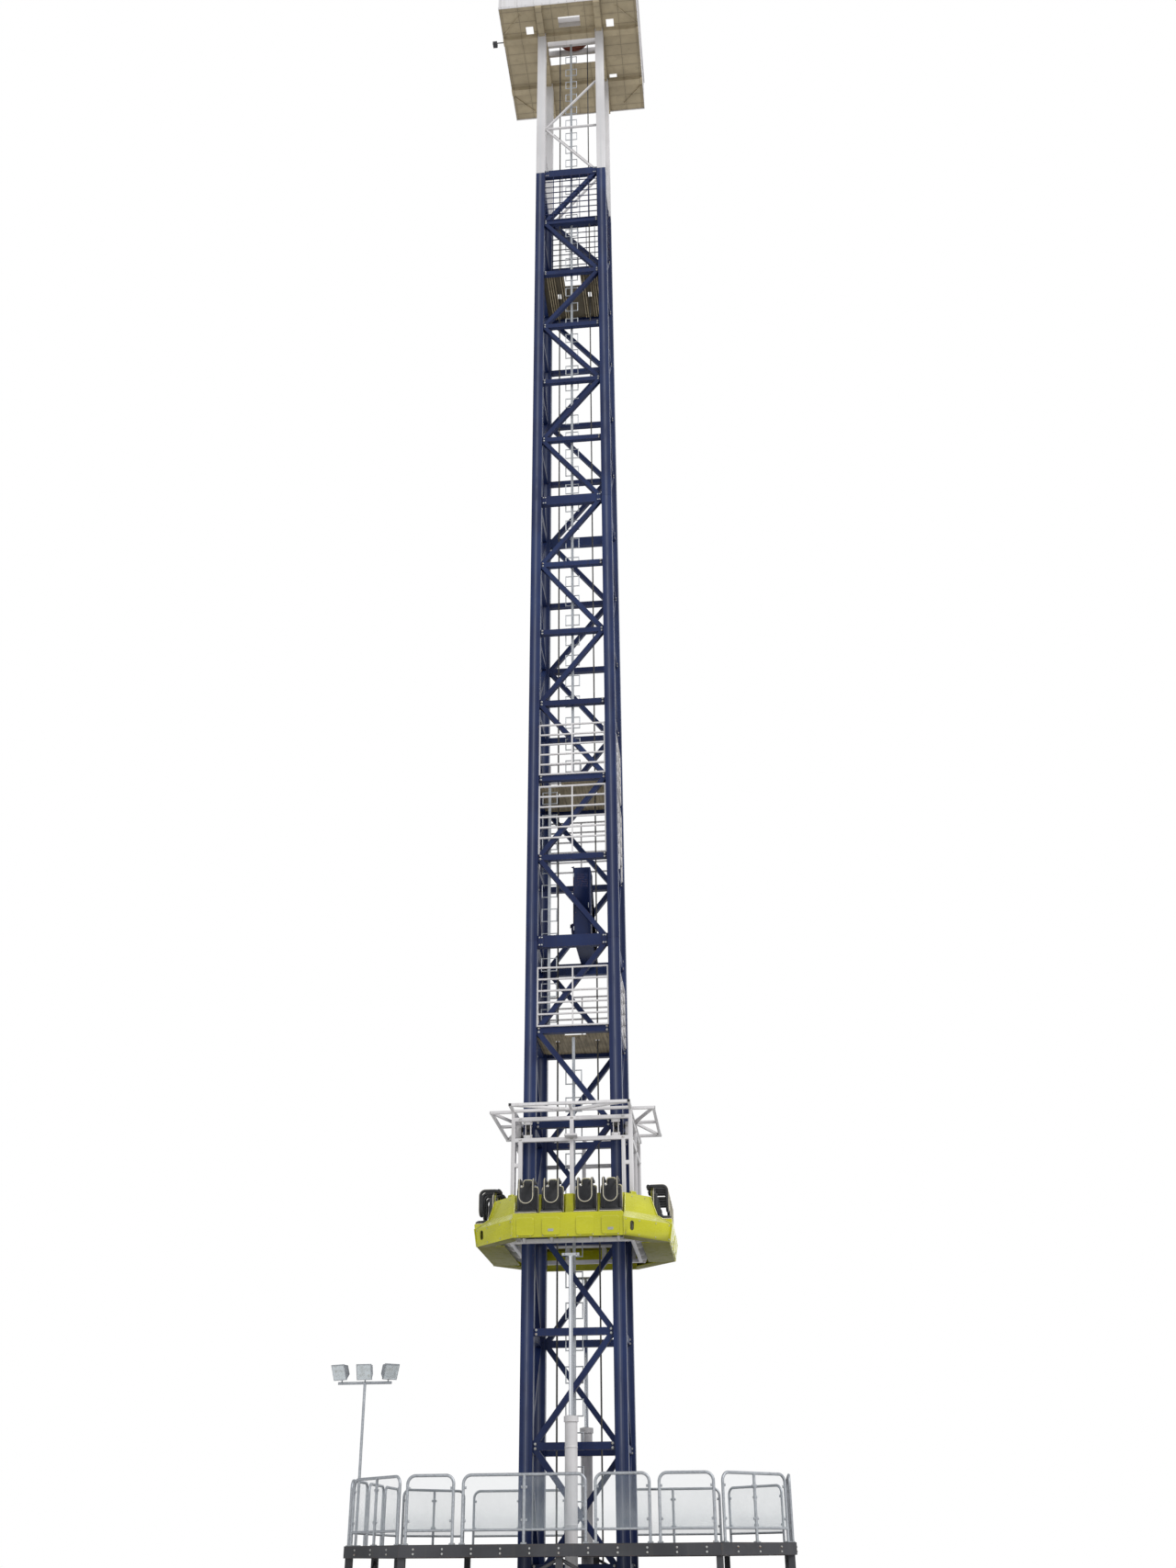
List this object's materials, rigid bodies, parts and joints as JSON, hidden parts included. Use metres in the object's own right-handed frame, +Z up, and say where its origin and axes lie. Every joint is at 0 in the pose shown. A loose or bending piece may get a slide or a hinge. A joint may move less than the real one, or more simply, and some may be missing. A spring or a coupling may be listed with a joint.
{
  "type": "drop tower ride, half-size scale model",
  "caption": "Free-fall drop tower with a lattice mast, an octagonal ring of outward-facing seats with shoulder restraints, buffers, a railed deck and a top platform.",
  "frame": {"origin": "middle of the underside of the ground beams, under the centre of the tower", "axes": "+Z up the tower, the front with the widest railing frame faces -Y, +X to the right seen from the front"},
  "size_m": [4.3412, 3.42, 23.489],
  "materials": {
    "blue": "satin navy blue paint on steel",
    "white": "satin white paint on steel, dusty",
    "beige": "matt beige paint",
    "yellow": "glossy lemon yellow moulded glass-fibre",
    "dark": "matt dark grey paint on steel",
    "galvanised": "galvanised steel",
    "rod": "ground and polished steel",
    "rope": "greased wire rope",
    "oxide": "red oxide primer",
    "clear": "clear sheet with light scratches",
    "black": "black moulded foam skin",
    "roller": "black roller tyre",
    "lamp": "grey painted lamp housing"
  },
  "bodies": {
    "tower": {"base_frame": "dark", "lower_columns": "blue", "middle_columns": "blue", "upper_columns": "blue", "top_columns": "white", "front_bracing": "blue", "rear_bracing": "blue", "left_bracing": "blue", "right_bracing": "blue", "top_bracing": "white", "ladder": "galvanised", "landings": "beige", "guard_panels": "white", "mesh_guard": "blue", "hoist_ropes": "rope", "drive_cabinet": "blue", "machine_beams": "white", "platform_floor": "beige", "platform_parapet": "white", "platform_lamp": "lamp", "deck_frame": "dark", "deck_legs": "dark", "deck_plates": "dark", "deck_railing": "galvanised", "railing_infill": "clear", "buffer_cylinders": "white", "floodlight_mast": "galvanised", "floodlights": "lamp"},
    "sheave": {"head_sheave": "oxide"},
    "buffers": {"buffer_rods": "rod"},
    "carriage": {"carriage_frame": "white", "outriggers": "white", "buffer_stops": "white", "seat_brackets": "white", "seat_rows": "yellow", "corner_fairings": "yellow", "seat_cushions": "black", "seat_backs": "black", "guide_brackets": "white", "guide_rollers": "roller"},
    "front_restraint_1": {"front_restraint_1": "black"},
    "front_restraint_2": {"front_restraint_2": "black"},
    "front_restraint_3": {"front_restraint_3": "black"},
    "front_restraint_4": {"front_restraint_4": "black"},
    "right_restraint_1": {"right_restraint_1": "black"},
    "right_restraint_2": {"right_restraint_2": "black"},
    "right_restraint_3": {"right_restraint_3": "black"},
    "right_restraint_4": {"right_restraint_4": "black"},
    "rear_restraint_1": {"rear_restraint_1": "black"},
    "rear_restraint_2": {"rear_restraint_2": "black"},
    "rear_restraint_3": {"rear_restraint_3": "black"},
    "rear_restraint_4": {"rear_restraint_4": "black"},
    "left_restraint_1": {"left_restraint_1": "black"},
    "left_restraint_2": {"left_restraint_2": "black"},
    "left_restraint_3": {"left_restraint_3": "black"},
    "left_restraint_4": {"left_restraint_4": "black"}
  },
  "joints": [
    {"name": "buffer_slide", "type": "slide", "parent": "tower", "child": "buffers", "axis": [0, 0, 1], "range_m": [-1.475, 0]},
    {"name": "carriage_slide", "type": "slide", "parent": "buffers", "child": "carriage", "axis": [0, 0, 1], "range_m": [-1.175, 17]},
    {"name": "sheave_turn", "type": "hinge", "parent": "tower", "child": "sheave", "pos_m": [0, 0, 23.258], "axis": [0, 1, 0], "continuous": true},
    {"name": "front_restraint_1_lift", "type": "hinge", "parent": "carriage", "child": "front_restraint_1", "pos_m": [-0.42575, -0.778, 4.225], "axis": [-1, 0, 0], "range_deg": [0, 85]},
    {"name": "front_restraint_2_lift", "type": "hinge", "parent": "carriage", "child": "front_restraint_2", "pos_m": [-0.17025, -0.778, 4.225], "axis": [-1, 0, 0], "range_deg": [0, 85]},
    {"name": "front_restraint_3_lift", "type": "hinge", "parent": "carriage", "child": "front_restraint_3", "pos_m": [0.17025, -0.778, 4.225], "axis": [-1, 0, 0], "range_deg": [0, 85]},
    {"name": "front_restraint_4_lift", "type": "hinge", "parent": "carriage", "child": "front_restraint_4", "pos_m": [0.42575, -0.778, 4.225], "axis": [-1, 0, 0], "range_deg": [0, 85]},
    {"name": "right_restraint_1_lift", "type": "hinge", "parent": "carriage", "child": "right_restraint_1", "pos_m": [0.778, -0.42575, 4.225], "axis": [0, -1, 0], "range_deg": [0, 85]},
    {"name": "right_restraint_2_lift", "type": "hinge", "parent": "carriage", "child": "right_restraint_2", "pos_m": [0.778, -0.17025, 4.225], "axis": [0, -1, 0], "range_deg": [0, 85]},
    {"name": "right_restraint_3_lift", "type": "hinge", "parent": "carriage", "child": "right_restraint_3", "pos_m": [0.778, 0.17025, 4.225], "axis": [0, -1, 0], "range_deg": [0, 85]},
    {"name": "right_restraint_4_lift", "type": "hinge", "parent": "carriage", "child": "right_restraint_4", "pos_m": [0.778, 0.42575, 4.225], "axis": [0, -1, 0], "range_deg": [0, 85]},
    {"name": "rear_restraint_1_lift", "type": "hinge", "parent": "carriage", "child": "rear_restraint_1", "pos_m": [0.42575, 0.778, 4.225], "axis": [1, 0, 0], "range_deg": [0, 85]},
    {"name": "rear_restraint_2_lift", "type": "hinge", "parent": "carriage", "child": "rear_restraint_2", "pos_m": [0.17025, 0.778, 4.225], "axis": [1, 0, 0], "range_deg": [0, 85]},
    {"name": "rear_restraint_3_lift", "type": "hinge", "parent": "carriage", "child": "rear_restraint_3", "pos_m": [-0.17025, 0.778, 4.225], "axis": [1, 0, 0], "range_deg": [0, 85]},
    {"name": "rear_restraint_4_lift", "type": "hinge", "parent": "carriage", "child": "rear_restraint_4", "pos_m": [-0.42575, 0.778, 4.225], "axis": [1, 0, 0], "range_deg": [0, 85]},
    {"name": "left_restraint_1_lift", "type": "hinge", "parent": "carriage", "child": "left_restraint_1", "pos_m": [-0.778, 0.42575, 4.225], "axis": [0, 1, 0], "range_deg": [0, 85]},
    {"name": "left_restraint_2_lift", "type": "hinge", "parent": "carriage", "child": "left_restraint_2", "pos_m": [-0.778, 0.17025, 4.225], "axis": [0, 1, 0], "range_deg": [0, 85]},
    {"name": "left_restraint_3_lift", "type": "hinge", "parent": "carriage", "child": "left_restraint_3", "pos_m": [-0.778, -0.17025, 4.225], "axis": [0, 1, 0], "range_deg": [0, 85]},
    {"name": "left_restraint_4_lift", "type": "hinge", "parent": "carriage", "child": "left_restraint_4", "pos_m": [-0.778, -0.42575, 4.225], "axis": [0, 1, 0], "range_deg": [0, 85]}
  ]
}
